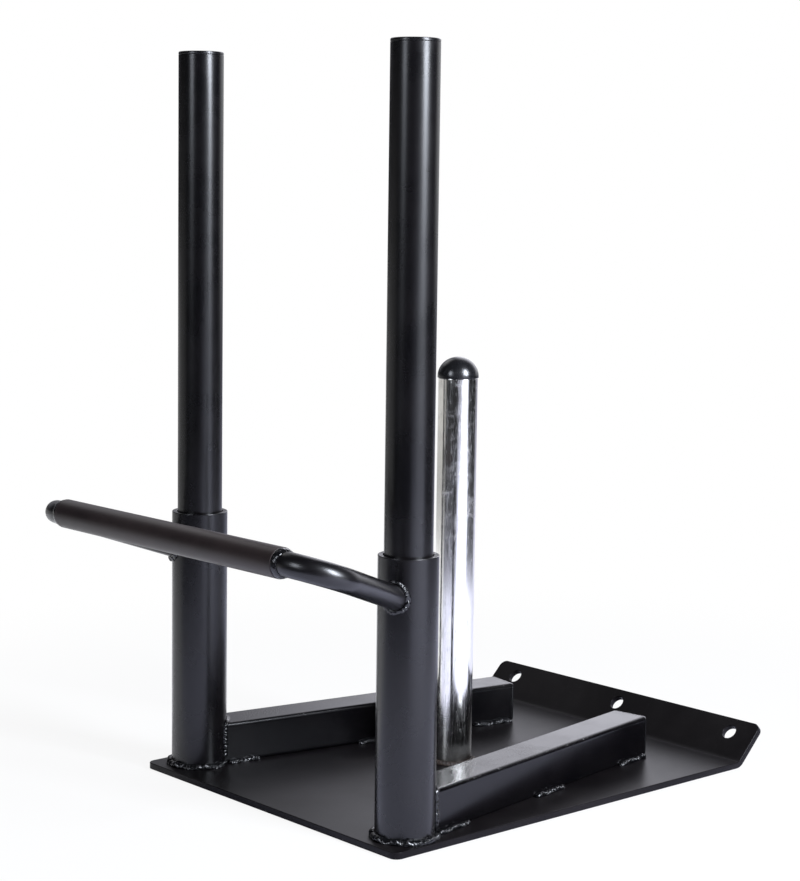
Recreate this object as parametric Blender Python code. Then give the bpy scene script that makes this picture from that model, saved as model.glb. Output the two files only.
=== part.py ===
"""Weight sled: a bent steel skid with two toed-in rails, a plate post, two pole sockets and a rear handle.

Metres, +Z up, +Y towards the tow lip, +X to the right of someone who pushes the sled.
The origin lies on the underside of the skid, on the axis of the weight post.
"""

import math

import bmesh
import bpy
from mathutils import Matrix, Vector

# Clearance between pieces that touch or are welded together
SEAT = 0.0003

# Skid plate
PLATE_THICKNESS = 0.008
PLATE_WIDTH = 0.467
PLATE_REAR_Y = -0.300
PLATE_BEND_Y = 0.276
REAR_CORNER_RADIUS = 0.010
BEND_INNER_RADIUS = 0.009

# Tow lip
LIP_ANGLE = math.radians(45.0)
LIP_LENGTH = 0.058
LIP_CORNER_RADIUS = 0.010
TOW_HOLE_DIAMETER = 0.019
TOW_HOLE_PITCH = 0.194
TOW_HOLE_FROM_EDGE = 0.0205

# Pole sockets
SOCKET_DIAMETER = 0.0675
SOCKET_FROM_SIDE = 0.00775
SOCKET_FROM_REAR = 0.01625
SOCKET_WALL = 0.0057
SOCKET_TOP_Z = 0.3235
RIM_ROUND = 0.0012

# Push poles
POLE_CLEARANCE = 0.0010
POLE_WALL = 0.0030
POLE_TOP_Z = 0.8785
CAP_FLANGE = 0.0036
CAP_EDGE_ROUND = 0.0018
CAP_SKIRT_LENGTH = 0.022
CAP_SKIRT_WALL = 0.0022

# Rails
RAIL_SIZE = 0.0508
RAIL_WALL = 0.0030
RAIL_CORNER_RADIUS = 0.0050
RAIL_FRONT_Y = 0.201
RAIL_FRONT_X = 0.115
RAIL_PLUG_FLANGE = 0.0030
RAIL_PLUG_DEPTH = 0.020

# Weight post
POST_DIAMETER = 0.0483
POST_WALL = 0.0035
POST_TOP_Z = 0.489
POST_CAP_DIAMETER = 0.0506
POST_CAP_HEIGHT = 0.0255

# Rear handle
ARM_HEIGHT_Z = 0.2700
ARM_DIAMETER = 0.0269
ARM_WALL = 0.0026
ARM_SPLAY = math.radians(22.0)
ARM_BEND_RADIUS = 0.040
HANDLE_RISE = math.radians(19.6)
HANDLE_REACH = 0.1845
ARM_IN_GRIP_GAP = 0.0004
GRIP_WALL = 0.0030
GRIP_OVER_PITCH = 0.023
ARM_INSERTION = 0.016

# Weld beads: the leg is the width of a bead on each of the two pieces that it joins
SOCKET_FOOT_LEG = 0.0070
WELD_CLEARANCE = 0.0010
POST_FOOT_LEG = 0.0055
SEAM_LEG = 0.0050
SEAM_DRAW = 0.0001
ARM_WELD_LEG = 0.0052
GRIP_WELD_LENGTH = 0.0082
STITCH_LEG = 0.0060
STITCH_LENGTH = 0.060
REAR_STITCH_LENGTHS = {"outer": 0.058, "inner": 0.046}
BEAD_CROWN = 0.16

# Number of facets round each piece
FACETS_LARGE = 40
FACETS_MEDIUM = 32
FACETS_SMALL = 22
FACETS_CORNER = 4

HALF_WIDTH = PLATE_WIDTH / 2
PLATE_TOP_Z = PLATE_THICKNESS
SOCKET_RADIUS = SOCKET_DIAMETER / 2
SOCKET_X = HALF_WIDTH - SOCKET_FROM_SIDE - SOCKET_RADIUS
SOCKET_Y = PLATE_REAR_Y + SOCKET_FROM_REAR + SOCKET_RADIUS
SOCKET_BORE_RADIUS = SOCKET_RADIUS - SOCKET_WALL
POLE_RADIUS = SOCKET_BORE_RADIUS - POLE_CLEARANCE
POST_RADIUS = POST_DIAMETER / 2
RAIL_TOP_Z = PLATE_TOP_Z + SEAT + RAIL_SIZE
ARM_RADIUS = ARM_DIAMETER / 2
GRIP_RADIUS = ARM_RADIUS + ARM_IN_GRIP_GAP + GRIP_WALL
GRIP_LENGTH = 2 * SOCKET_X + GRIP_OVER_PITCH
LIP_ALONG = Vector((0.0, math.cos(LIP_ANGLE), math.sin(LIP_ANGLE)))
LIP_OUTWARD = Vector((0.0, math.sin(LIP_ANGLE), -math.cos(LIP_ANGLE)))
UP = Vector((0.0, 0.0, 1.0))
SIDES = (("left", -1.0), ("right", 1.0))


def clear_scene():
    for thing in list(bpy.data.objects):
        bpy.data.objects.remove(thing, do_unlink=True)


def make_material(name, colour, roughness, metallic):
    material = bpy.data.materials.new(name)
    material.use_nodes = True
    shader = material.node_tree.nodes["Principled BSDF"]
    shader.inputs["Base Color"].default_value = (*colour, 1.0)
    shader.inputs["Roughness"].default_value = roughness
    shader.inputs["Metallic"].default_value = metallic
    return material


def make_object(bm, name, material, parent=None, hidden=False):
    """Turns a bmesh into a named object with outward faces and smooth round sides."""
    bm.normal_update()
    bmesh.ops.recalc_face_normals(bm, faces=bm.faces[:])
    mesh = bpy.data.meshes.new(name)
    bm.to_mesh(mesh)
    bm.free()
    thing = bpy.data.objects.new(name, mesh)
    bpy.context.scene.collection.objects.link(thing)
    if material:
        mesh.materials.append(material)
    mesh.shade_smooth()
    mesh.set_sharp_from_angle(angle=math.radians(32.0))
    if parent:
        thing.parent = parent
        thing.matrix_parent_inverse = parent.matrix_world.inverted()
    if hidden:
        thing.hide_render = True
        thing.display_type = "WIRE"
    return thing


def subtract(thing, cutter, label):
    modifier = thing.modifiers.new(label, "BOOLEAN")
    modifier.operation = "DIFFERENCE"
    modifier.solver = "EXACT"
    modifier.object = cutter


def closed_outline(bm, points):
    """A ring of edges through the points, in order."""
    corners = [bm.verts.new(point) for point in points]
    edges = []
    for index, corner in enumerate(corners):
        edges.append(bm.edges.new((corner, corners[(index + 1) % len(corners)])))
    return corners, edges


def turned(profile, facets):
    """Spins a closed (radius, height) profile once round Z. Points at radius 0 lie on the axis."""
    bm = bmesh.new()
    _, edges = closed_outline(bm, [(radius, 0.0, height) for radius, height in profile])
    on_axis = [e for e in edges if all(v.co.x == 0.0 for v in e.verts)]
    for edge in on_axis:
        edges.remove(edge)
    bmesh.ops.delete(bm, geom=on_axis, context="EDGES")
    geometry = list({vertex for edge in edges for vertex in edge.verts}) + edges
    bmesh.ops.spin(
        bm,
        geom=geometry,
        cent=(0.0, 0.0, 0.0),
        axis=(0.0, 0.0, 1.0),
        angle=math.tau,
        steps=facets,
        use_merge=True,
    )
    bmesh.ops.remove_doubles(bm, verts=bm.verts[:], dist=1e-6)
    return bm


def place(bm, location, direction=UP):
    """Turns +Z of the mesh into the direction, then moves its origin to the location."""
    turn = UP.rotation_difference(Vector(direction)).to_matrix().to_4x4()
    bm.transform(Matrix.Translation(location) @ turn)
    return bm


def tube_profile(outer, inner, low, high, edge_round):
    """Wall section of a tube with its two upper edges broken by a small chamfer."""
    return [
        (inner, low),
        (outer, low),
        (outer, high - edge_round),
        (outer - edge_round, high),
        (inner + edge_round, high),
        (inner, high - edge_round),
    ]


def plain_cylinder(radius, low, high, facets):
    return turned([(0.0, low), (radius, low), (radius, high), (0.0, high)], facets)


def rounded_square(size, radius, steps):
    """Corner points of a square with rounded corners, anticlockwise, centred on the origin."""
    points = []
    reach = size / 2 - radius
    for corner in range(4):
        start = corner * math.pi / 2
        centre_u = reach * (1.0 if corner in (0, 3) else -1.0)
        centre_v = reach * (1.0 if corner in (0, 1) else -1.0)
        for step in range(steps + 1):
            angle = start + step * math.pi / 2 / steps
            points.append((centre_u + radius * math.cos(angle), centre_v + radius * math.sin(angle)))
    return points


def skin(rings, closed):
    """A surface through rings of points. An open run of rings gets a face over each end."""
    bm = bmesh.new()
    made = [[bm.verts.new(point) for point in ring] for ring in rings]
    following = made[1:] + made[:1] if closed else made[1:]
    for here, there in zip(made, following):
        for side in range(len(here)):
            after = (side + 1) % len(here)
            bm.faces.new((here[side], here[after], there[after], there[side]))
    if not closed:
        bm.faces.new(made[0])
        bm.faces.new(made[-1])
    return bm


def bead(sections, closed):
    """Joins weld sections into one bead. A section is its root and its two toes on the joined pieces.

    The crown is an arc of three points between the toes, raised away from the root.
    """
    rings = []
    for root, toe_a, toe_b in sections:
        outward = ((toe_a + toe_b) / 2 - root).normalized()
        span = (toe_b - toe_a).length
        ring = [root, toe_a]
        for share in (0.25, 0.5, 0.75):
            rise = BEAD_CROWN * span * math.sin(math.pi * share)
            ring.append(toe_a.lerp(toe_b, share) + outward * rise)
        ring.append(toe_b)
        rings.append(ring)
    return skin(rings, closed)


def end_taper(share):
    """Size of an open bead along its length: it swells in from its start and fades at its end."""
    return 0.45 + 0.55 * min(1.0, 5.0 * min(share, 1.0 - share))


def socket_axis(side):
    return Vector((side * SOCKET_X, SOCKET_Y, 0.0))


def rail_axis(side):
    """Start on the socket's axis, front end, unit direction and outward side of a rail, in plan."""
    start = socket_axis(side)
    front = Vector((side * RAIL_FRONT_X, RAIL_FRONT_Y, 0.0))
    along = (front - start).normalized()
    outward = Vector((along.y, -along.x, 0.0)) * side
    return start, front, along, outward


def handle_frame(side):
    """Corner of an arm's centre line, its direction from the socket, and the rearward slope of the handle."""
    slope = Vector((0.0, -math.cos(HANDLE_RISE), math.sin(HANDLE_RISE)))
    across = Vector((side, 0.0, 0.0))
    start = socket_axis(side) + UP * ARM_HEIGHT_Z
    along = across * math.sin(ARM_SPLAY) + slope * math.cos(ARM_SPLAY)
    reach = HANDLE_REACH / math.cos(HANDLE_RISE) / math.cos(ARM_SPLAY)
    return start, start + along * reach, along, across, slope


def grip_axis_point():
    _, corner, _, _, _ = handle_frame(1.0)
    return Vector((0.0, corner.y, corner.z))


def build_plate(material):
    """The bent section runs across the full width, then corners are rounded and the tow holes are cut."""
    tangent = BEND_INNER_RADIUS * math.tan(LIP_ANGLE / 2)
    centre = Vector((0.0, PLATE_BEND_Y - tangent, PLATE_TOP_Z + BEND_INNER_RADIUS))
    upper = []
    lower = []
    for step in range(FACETS_CORNER + 1):
        angle = LIP_ANGLE * step / FACETS_CORNER
        ray = Vector((0.0, math.sin(angle), -math.cos(angle)))
        upper.append(centre + ray * BEND_INNER_RADIUS)
        lower.append(centre + ray * (BEND_INNER_RADIUS + PLATE_THICKNESS))
    tip = Vector((0.0, PLATE_BEND_Y, PLATE_TOP_Z)) + LIP_ALONG * LIP_LENGTH
    outline = [Vector((0.0, PLATE_REAR_Y, 0.0))]
    outline += lower
    outline += [tip + LIP_OUTWARD * PLATE_THICKNESS, tip]
    outline += list(reversed(upper))
    outline.append(Vector((0.0, PLATE_REAR_Y, PLATE_TOP_Z)))
    bm = bmesh.new()
    shift = Vector((-HALF_WIDTH, 0.0, 0.0))
    corners, _ = closed_outline(bm, [point + shift for point in outline])
    face = bm.faces.new(corners)
    grown = bmesh.ops.extrude_face_region(bm, geom=[face])
    moved = [item for item in grown["geom"] if isinstance(item, bmesh.types.BMVert)]
    bmesh.ops.translate(bm, verts=moved, vec=(PLATE_WIDTH, 0.0, 0.0))
    rear_edges = []
    lip_edges = []
    for edge in bm.edges:
        middle = (edge.verts[0].co + edge.verts[1].co) / 2
        crossing = abs(edge.verts[0].co.x - edge.verts[1].co.x) > SEAT
        if crossing:
            continue
        if abs(middle.y - PLATE_REAR_Y) < SEAT:
            rear_edges.append(edge)
        elif (middle - (tip + LIP_OUTWARD * PLATE_THICKNESS / 2)).yz.length < SEAT:
            lip_edges.append(edge)
    for edges, radius in ((rear_edges, REAR_CORNER_RADIUS), (lip_edges, LIP_CORNER_RADIUS)):
        bmesh.ops.bevel(bm, geom=edges, offset=radius, segments=FACETS_CORNER + 1, profile=0.5, affect="EDGES")
    plate = make_object(bm, "base_plate", material)
    for number, column in enumerate((-1.0, 0.0, 1.0)):
        middle = tip - LIP_ALONG * TOW_HOLE_FROM_EDGE
        middle.x = column * TOW_HOLE_PITCH
        drill = plain_cylinder(TOW_HOLE_DIAMETER / 2, -PLATE_THICKNESS, 2 * PLATE_THICKNESS, FACETS_SMALL)
        place(drill, middle, LIP_OUTWARD)
        cutter = make_object(drill, f"tow_hole_cutter_{number}", None, hidden=True)
        subtract(plate, cutter, f"tow hole {number}")
    return plate


def build_socket(label, side, material):
    profile = tube_profile(SOCKET_RADIUS, SOCKET_BORE_RADIUS, PLATE_TOP_Z + SEAT, SOCKET_TOP_Z, RIM_ROUND)
    bm = place(turned(profile, FACETS_LARGE), socket_axis(side))
    make_object(bm, f"{label}_socket", material)


def build_push_pole(label, side, steel, plastic):
    """A loose tube that stands on the plate in its socket, with a flat plug on top."""
    joint = bpy.data.objects.new(f"{label}_pole_axis", None)
    bpy.context.scene.collection.objects.link(joint)
    joint.location = socket_axis(side) + UP * PLATE_TOP_Z
    bpy.context.view_layer.update()
    tube_top = POLE_TOP_Z - CAP_FLANGE - SEAT
    bore = POLE_RADIUS - POLE_WALL
    profile = tube_profile(POLE_RADIUS, bore, PLATE_TOP_Z + SEAT, tube_top, SEAT)
    bm = place(turned(profile, FACETS_LARGE), socket_axis(side))
    make_object(bm, f"{label}_push_pole", steel, joint)
    skirt = bore - SEAT
    rounding = []
    for step in range(FACETS_CORNER + 1):
        angle = step * math.pi / 2 / FACETS_CORNER
        radius = POLE_RADIUS - CAP_EDGE_ROUND * (1.0 - math.cos(angle))
        rounding.append((radius, POLE_TOP_Z - CAP_EDGE_ROUND * (1.0 - math.sin(angle))))
    profile = [(0.0, tube_top + SEAT), (skirt - CAP_SKIRT_WALL, tube_top + SEAT)]
    profile += [(skirt - CAP_SKIRT_WALL, tube_top - CAP_SKIRT_LENGTH), (skirt, tube_top - CAP_SKIRT_LENGTH)]
    profile += [(skirt, tube_top + SEAT), (POLE_RADIUS, tube_top + SEAT)]
    profile += rounding
    profile.append((0.0, POLE_TOP_Z))
    bm = place(turned(profile, FACETS_LARGE), socket_axis(side))
    make_object(bm, f"{label}_pole_cap", plastic, joint)


def build_rail(label, side, steel, plastic):
    """A box section from its socket to its front end, coped to the socket and closed by a square plug.

    The heat of the seam weld has drawn the walls in by SEAM_DRAW towards the socket's axis, so the flat top,
    which loads can rest on, starts ahead of that weld.
    """
    start, front, along, outward = rail_axis(side)
    length = (front - start).length
    base = start + UP * (PLATE_TOP_Z + SEAT + RAIL_SIZE / 2)

    def section(outline, distance):
        return [base + outward * u + UP * v + along * distance for u, v in outline]

    outer = rounded_square(RAIL_SIZE, RAIL_CORNER_RADIUS, FACETS_CORNER)
    drawn_in = rounded_square(RAIL_SIZE - 2 * SEAM_DRAW, RAIL_CORNER_RADIUS, FACETS_CORNER)
    bore_size = RAIL_SIZE - 2 * RAIL_WALL
    bore_radius = RAIL_CORNER_RADIUS - RAIL_WALL
    bore = rounded_square(bore_size, bore_radius, FACETS_CORNER)
    tube_end = length - RAIL_PLUG_FLANGE - SEAT
    rings = [section(drawn_in, 0.0), section(outer, SOCKET_RADIUS + 2 * SEAM_LEG), section(outer, tube_end)]
    rail = make_object(skin(rings, False), f"{label}_rail", steel)
    bore_rings = [section(bore, -SOCKET_RADIUS), section(bore, length + RAIL_WALL)]
    bore_cutter = make_object(skin(bore_rings, False), f"{label}_rail_bore_cutter", None, hidden=True)
    subtract(rail, bore_cutter, "bore")
    cope = plain_cylinder(SOCKET_RADIUS + SEAT, 0.0, RAIL_TOP_Z + RAIL_WALL, FACETS_LARGE)
    cope_cutter = make_object(place(cope, start), f"{label}_cope_cutter", None, hidden=True)
    subtract(rail, cope_cutter, "cope")
    stem = rounded_square(bore_size - 2 * SEAT, bore_radius, FACETS_CORNER)
    shoulder = tube_end + SEAT
    plug_rings = [section(stem, shoulder - RAIL_PLUG_DEPTH), section(stem, shoulder)]
    plug_rings += [section(outer, shoulder), section(outer, length)]
    make_object(skin(plug_rings, False), f"{label}_rail_plug", plastic)


def build_post(chrome, plastic):
    """The plate post and its domed plug, whose brim stands a little proud of the tube."""
    profile = tube_profile(POST_RADIUS, POST_RADIUS - POST_WALL, PLATE_TOP_Z + SEAT, POST_TOP_Z, SEAT)
    make_object(turned(profile, FACETS_LARGE), "weight_post", chrome)
    brim = POST_CAP_DIAMETER / 2
    base = POST_TOP_Z + SEAT
    skirt = POST_RADIUS - POST_WALL - SEAT
    lip = 0.0016
    dome = []
    steps = 2 * FACETS_CORNER
    for step in range(steps):
        angle = step * math.pi / 2 / steps
        rise = (POST_CAP_HEIGHT - lip) * math.sin(angle)
        dome.append((brim * math.cos(angle), base + lip + rise))
    profile = [(0.0, base), (skirt - CAP_SKIRT_WALL, base)]
    profile += [(skirt - CAP_SKIRT_WALL, base - CAP_SKIRT_LENGTH), (skirt, base - CAP_SKIRT_LENGTH)]
    profile += [(skirt, base), (brim, base)]
    profile += dome
    profile.append((0.0, base + POST_CAP_HEIGHT))
    make_object(turned(profile, FACETS_LARGE), "post_cap", plastic)


def build_grip(material):
    half = GRIP_LENGTH / 2
    inner = GRIP_RADIUS - GRIP_WALL
    profile = [
        (inner, -half),
        (GRIP_RADIUS - SEAT, -half),
        (GRIP_RADIUS, SEAT - half),
        (GRIP_RADIUS, half - SEAT),
        (GRIP_RADIUS - SEAT, half),
        (inner, half),
    ]
    bm = place(turned(profile, FACETS_MEDIUM), grip_axis_point(), (1.0, 0.0, 0.0))
    make_object(bm, "grip_tube", material)


def arm_path(side):
    """Centre line of an arm from inside its socket to inside the grip: a run, one bend and a run."""
    start, corner, along, across, slope = handle_frame(side)
    turn = math.pi / 2 + ARM_SPLAY
    tangent = ARM_BEND_RADIUS * math.tan(turn / 2)
    bend_start = corner - along * tangent
    bend_end = corner - across * tangent
    centre = bend_end - slope * ARM_BEND_RADIUS
    stations = [(start, along)]
    steps = 2 * FACETS_CORNER
    for step in range(steps + 1):
        angle = turn * (1.0 - step / steps)
        place_here = centre + (across * math.sin(angle) + slope * math.cos(angle)) * ARM_BEND_RADIUS
        heading = slope * math.sin(angle) - across * math.cos(angle)
        stations.append((place_here, heading))
    stations[1] = (bend_start, along)
    inner_end = grip_axis_point() + across * (GRIP_LENGTH / 2 - ARM_INSERTION)
    stations.append((inner_end, -across))
    return stations, across.cross(slope)


def build_arm(label, side, material):
    """A bent tube: rings go out along its outer skin and come back along its bore."""
    stations, square_to_bend = arm_path(side)

    def ring(radius, point, heading):
        sideways = heading.cross(square_to_bend)
        points = []
        for facet in range(FACETS_SMALL):
            angle = math.tau * facet / FACETS_SMALL
            points.append(point + (sideways * math.cos(angle) + square_to_bend * math.sin(angle)) * radius)
        return points

    rings = [ring(ARM_RADIUS, point, heading) for point, heading in stations]
    rings += [ring(ARM_RADIUS - ARM_WALL, point, heading) for point, heading in reversed(stations)]
    bm = skin(rings, True)
    arm = make_object(bm, f"{label}_handle_arm", material)
    low = ARM_HEIGHT_Z - 2 * ARM_DIAMETER
    cope = plain_cylinder(SOCKET_RADIUS + SEAT, low, ARM_HEIGHT_Z + 2 * ARM_DIAMETER, FACETS_LARGE)
    cutter = make_object(place(cope, socket_axis(side)), f"{label}_arm_cope_cutter", None, hidden=True)
    subtract(arm, cutter, "cope")


def weld_ring(name, axis_point, radius, base, leg, material, opening=0.0, facing=0.0):
    """A fillet between a standing tube and a flat face, left open where another piece meets the tube."""
    sweep = math.tau - opening
    count = FACETS_LARGE if opening == 0.0 else round(FACETS_LARGE * sweep / math.tau) + 1
    sections = []
    for index in range(count):
        share = index / count if opening == 0.0 else index / (count - 1)
        size = leg if opening == 0.0 else leg * end_taper(share)
        angle = facing + opening / 2 + sweep * share
        ray = Vector((math.cos(angle), math.sin(angle), 0.0))
        root = axis_point + ray * (radius + SEAT) + UP * (base + SEAT)
        sections.append((root, root + ray * size, root + UP * size))
    make_object(bead(sections, opening == 0.0), name, material)


def build_rail_seam(label, side, material):
    """The bead that climbs one flank of a rail, crosses its top and goes down the other, along the socket."""
    start, _, along, outward = rail_axis(side)
    reach = SOCKET_RADIUS + SEAT
    base_z = PLATE_TOP_Z + SEAT + RAIL_SIZE / 2
    half = RAIL_SIZE / 2 + SEAT
    corner = RAIL_CORNER_RADIUS + SEAT
    route = []
    for share in (0.0, 0.5, 1.0):
        low = SOCKET_FOOT_LEG + SEAT - half
        route.append((half, low + (half - corner - low) * share, 0.0))
    for step in range(1, FACETS_CORNER):
        route.append((None, None, step * math.pi / 2 / FACETS_CORNER))
    top_bearing = math.asin((half - corner) / reach)
    top_steps = math.ceil(top_bearing / (math.tau / FACETS_LARGE))
    for step in range(top_steps + 1):
        route.append((reach * math.sin(top_bearing * (1.0 - step / top_steps)), half, math.pi / 2))
    flank = []
    for sideways, upwards, angle in route:
        if sideways is None:
            sideways = half - corner + corner * math.cos(angle)
            upwards = half - corner + corner * math.sin(angle)
        flank.append((sideways, upwards, angle))
    whole = flank + [(-sideways, upwards, math.pi - angle) for sideways, upwards, angle in reversed(flank[:-1])]
    sections = []
    for index, (sideways, upwards, angle) in enumerate(whole):
        size = SEAM_LEG * end_taper(index / (len(whole) - 1))
        bearing = math.asin(sideways / reach)
        root = start + (along * math.cos(bearing) + outward * math.sin(bearing)) * reach
        root += UP * (base_z + upwards)
        toe_rail = root + along * size
        turned_on = bearing + math.cos(angle) * size / reach
        toe_socket = start + (along * math.cos(turned_on) + outward * math.sin(turned_on)) * (reach + SEAT)
        toe_socket += UP * (base_z + upwards + math.sin(angle) * size)
        sections.append((root, toe_rail, toe_socket))
    make_object(bead(sections, False), f"{label}_rail_seam_weld", material)


def build_stitches(label, side, material):
    """Three short fillets on each flank of a rail: against the socket, at mid length and at the front end."""
    start, front, along, outward = rail_axis(side)
    socket_at_flank = math.sqrt(SOCKET_RADIUS**2 - (RAIL_SIZE / 2) ** 2)
    first = socket_at_flank + SEAM_LEG
    last = (front - start).length - RAIL_PLUG_FLANGE - STITCH_LENGTH
    middle = (first + STITCH_LEG + last) / 2
    for place_name, begin in (("rear", first), ("middle", middle), ("front", last)):
        for flank_name, flank in (("outer", outward), ("inner", -outward)):
            length = REAR_STITCH_LENGTHS[flank_name] if place_name == "rear" else STITCH_LENGTH
            sections = []
            count = 2 * FACETS_CORNER + 1
            for index in range(count):
                share = index / (count - 1)
                size = STITCH_LEG * end_taper(share)
                root = start + along * (begin + length * share)
                root += flank * (RAIL_SIZE / 2 + SEAT) + UP * (PLATE_TOP_Z + SEAT)
                sections.append((root, root + flank * size, root + UP * size))
            make_object(bead(sections, False), f"{label}_rail_{flank_name}_{place_name}_stitch", material)


def build_arm_weld(label, side, material):
    """A ring that follows the saddle curve where a handle arm meets its socket."""
    start, _, along, across, slope = handle_frame(side)
    square_to_bend = across.cross(slope)
    sideways = along.cross(square_to_bend)
    radius = ARM_RADIUS + SEAT
    reach = SOCKET_RADIUS + SEAT
    level = Vector((along.x, along.y, 0.0))
    sections = []
    for facet in range(FACETS_MEDIUM):
        angle = math.tau * facet / FACETS_MEDIUM
        ray = sideways * math.cos(angle) + square_to_bend * math.sin(angle)
        offset = ray * radius
        flat = Vector((offset.x, offset.y, 0.0))
        along_flat = flat.dot(level)
        spare = reach * reach - flat.length_squared
        travel = (math.sqrt(along_flat**2 + level.length_squared * spare) - along_flat) / level.length_squared
        root = start + offset + along * travel
        toe_arm = root + along * ARM_WELD_LEG
        spoke = root - start
        away = Vector((spoke.x, spoke.y, 0.0)).normalized()
        along_wall = (ray - away * ray.dot(away)).normalized()
        toe_socket = root + along_wall * ARM_WELD_LEG
        spoke = toe_socket - start
        outer = Vector((spoke.x, spoke.y, 0.0)).normalized() * (reach + SEAT / 2)
        toe_socket = Vector((start.x + outer.x, start.y + outer.y, toe_socket.z))
        sections.append((root, toe_arm, toe_socket))
    make_object(bead(sections, True), f"{label}_arm_weld", material)


def build_grip_weld(label, side, material):
    """A ring on the end face of the grip tube, round the arm that enters it."""
    end = grip_axis_point() + Vector((side * (GRIP_LENGTH / 2 + SEAT), 0.0, 0.0))
    sections = []
    for facet in range(FACETS_MEDIUM):
        angle = math.tau * facet / FACETS_MEDIUM
        ray = Vector((0.0, math.cos(angle), math.sin(angle)))
        root = end + ray * (ARM_RADIUS + SEAT)
        toe_grip = end + ray * GRIP_RADIUS
        toe_arm = root + Vector((side * GRIP_WELD_LENGTH, 0.0, 0.0))
        sections.append((root, toe_grip, toe_arm))
    make_object(bead(sections, True), f"{label}_grip_weld", material)


def build_sled():
    clear_scene()
    painted = make_material("black_powder_coat", (0.030, 0.029, 0.031), 0.34, 0.0)
    grip_paint = make_material("grip_powder_coat", (0.050, 0.044, 0.041), 0.48, 0.0)
    weld_paint = make_material("painted_weld", (0.022, 0.021, 0.022), 0.24, 0.0)
    burnt_weld = make_material("bare_burnt_weld", (0.060, 0.040, 0.032), 0.45, 0.7)
    chrome = make_material("scratched_chrome", (0.72, 0.73, 0.74), 0.16, 1.0)
    plastic = make_material("black_plastic", (0.020, 0.021, 0.021), 0.42, 0.0)
    build_plate(painted)
    build_post(chrome, plastic)
    build_grip(grip_paint)
    weld_ring("post_foot_weld", Vector(), POST_RADIUS, PLATE_TOP_Z, POST_FOOT_LEG, burnt_weld)
    for label, side in SIDES:
        build_socket(label, side, painted)
        build_push_pole(label, side, painted, plastic)
        build_rail(label, side, painted, plastic)
        build_arm(label, side, painted)
        _, _, along, _ = rail_axis(side)
        facing = math.atan2(along.y, along.x)
        name = f"{label}_socket_foot_weld"
        spot = socket_axis(side)
        opening = 2 * math.asin((RAIL_SIZE / 2 + WELD_CLEARANCE) / (SOCKET_RADIUS + SEAT))
        weld_ring(name, spot, SOCKET_RADIUS, PLATE_TOP_Z, SOCKET_FOOT_LEG, weld_paint, opening, facing)
        build_rail_seam(label, side, weld_paint)
        build_stitches(label, side, weld_paint)
        build_arm_weld(label, side, weld_paint)
        build_grip_weld(label, side, weld_paint)


build_sled()
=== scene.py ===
import math

import bmesh
import bpy
import numpy as np
from mathutils import Matrix, Vector


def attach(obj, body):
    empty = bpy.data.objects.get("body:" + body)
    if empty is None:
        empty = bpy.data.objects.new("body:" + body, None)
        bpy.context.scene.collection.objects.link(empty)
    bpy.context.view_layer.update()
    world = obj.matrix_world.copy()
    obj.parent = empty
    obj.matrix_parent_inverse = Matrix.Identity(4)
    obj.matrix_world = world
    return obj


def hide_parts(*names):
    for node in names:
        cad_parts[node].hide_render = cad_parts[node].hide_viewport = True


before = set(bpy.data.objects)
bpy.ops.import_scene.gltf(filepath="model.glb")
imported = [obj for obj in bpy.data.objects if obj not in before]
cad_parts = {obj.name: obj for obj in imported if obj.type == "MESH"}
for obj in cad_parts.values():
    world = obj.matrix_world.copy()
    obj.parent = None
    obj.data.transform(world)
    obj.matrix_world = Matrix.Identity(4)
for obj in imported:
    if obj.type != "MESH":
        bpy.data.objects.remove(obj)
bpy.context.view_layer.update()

# sizes that the finish shares with the solids, in metres

SEAT = 0.0003
TURN = 2.0 * math.pi
PLATE_THICKNESS, PLATE_HALF_WIDTH = 0.008, 0.2335
PLATE_REAR, PLATE_BEND, LIP_LENGTH, LIP_ANGLE = -0.300, 0.276, 0.058, math.radians(45.0)
BEND_RADIUS, CORNER_RADIUS = 0.009, 0.010
HOLE_RADIUS, HOLE_PITCH, HOLE_FROM_EDGE = 0.0095, 0.194, 0.0205
SOCKET_X, SOCKET_Y, SOCKET_RADIUS, SOCKET_BORE, SOCKET_TOP = 0.192, -0.250, 0.03375, 0.02805, 0.3235
POLE_RADIUS, POLE_BORE, POLE_TOP, CAP_FLANGE = 0.02705, 0.02405, 0.8785, 0.0036
RAIL_SIZE, RAIL_WALL, RAIL_CORNER, RAIL_FRONT = 0.0508, 0.0030, 0.0050, (0.115, 0.201)
PLUG_FLANGE, PLUG_DEPTH = 0.0030, 0.020
POST_RADIUS, POST_BORE, POST_TOP = 0.02415, 0.02065, 0.489
DOME_RADIUS, DOME_HEIGHT = 0.0253, 0.0255
ARM_RADIUS, ARM_BORE, ARM_HEIGHT = 0.01345, 0.01085, 0.2700
ARM_SPLAY, ARM_BEND, HANDLE_RISE, HANDLE_REACH = math.radians(22.0), 0.040, math.radians(19.6), 0.1845
GRIP_RADIUS, GRIP_BORE, GRIP_HALF, ARM_INSERTION = 0.01685, 0.01385, 0.2035, 0.016
FOOT_LEG, SEAM_LEG, STITCH_LEG, STITCH_LENGTH = 0.0070, 0.0050, 0.0060, 0.060
REAR_STITCH_LENGTHS = {"outer": 0.058, "inner": 0.046}
POST_FOOT_LEG, ARM_WELD_LEG, GRIP_WELD_LENGTH = 0.0055, 0.0052, 0.0082
SKIRT_WALL, SKIRT_LENGTH, SOCKET_RIM_MIDDLE = 0.0022, 0.022, 0.0308
FOOT_Z, SOCKET_FACE = PLATE_THICKNESS + SEAT, SOCKET_RADIUS + SEAT
SIDES = (("left", -1.0), ("right", 1.0))
UP = np.array([0.0, 0.0, 1.0])


def socket_point(side):
    return np.array([side * SOCKET_X, SOCKET_Y, 0.0])


def unit(vectors):
    return vectors / np.linalg.norm(vectors, axis=-1, keepdims=True)


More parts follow.
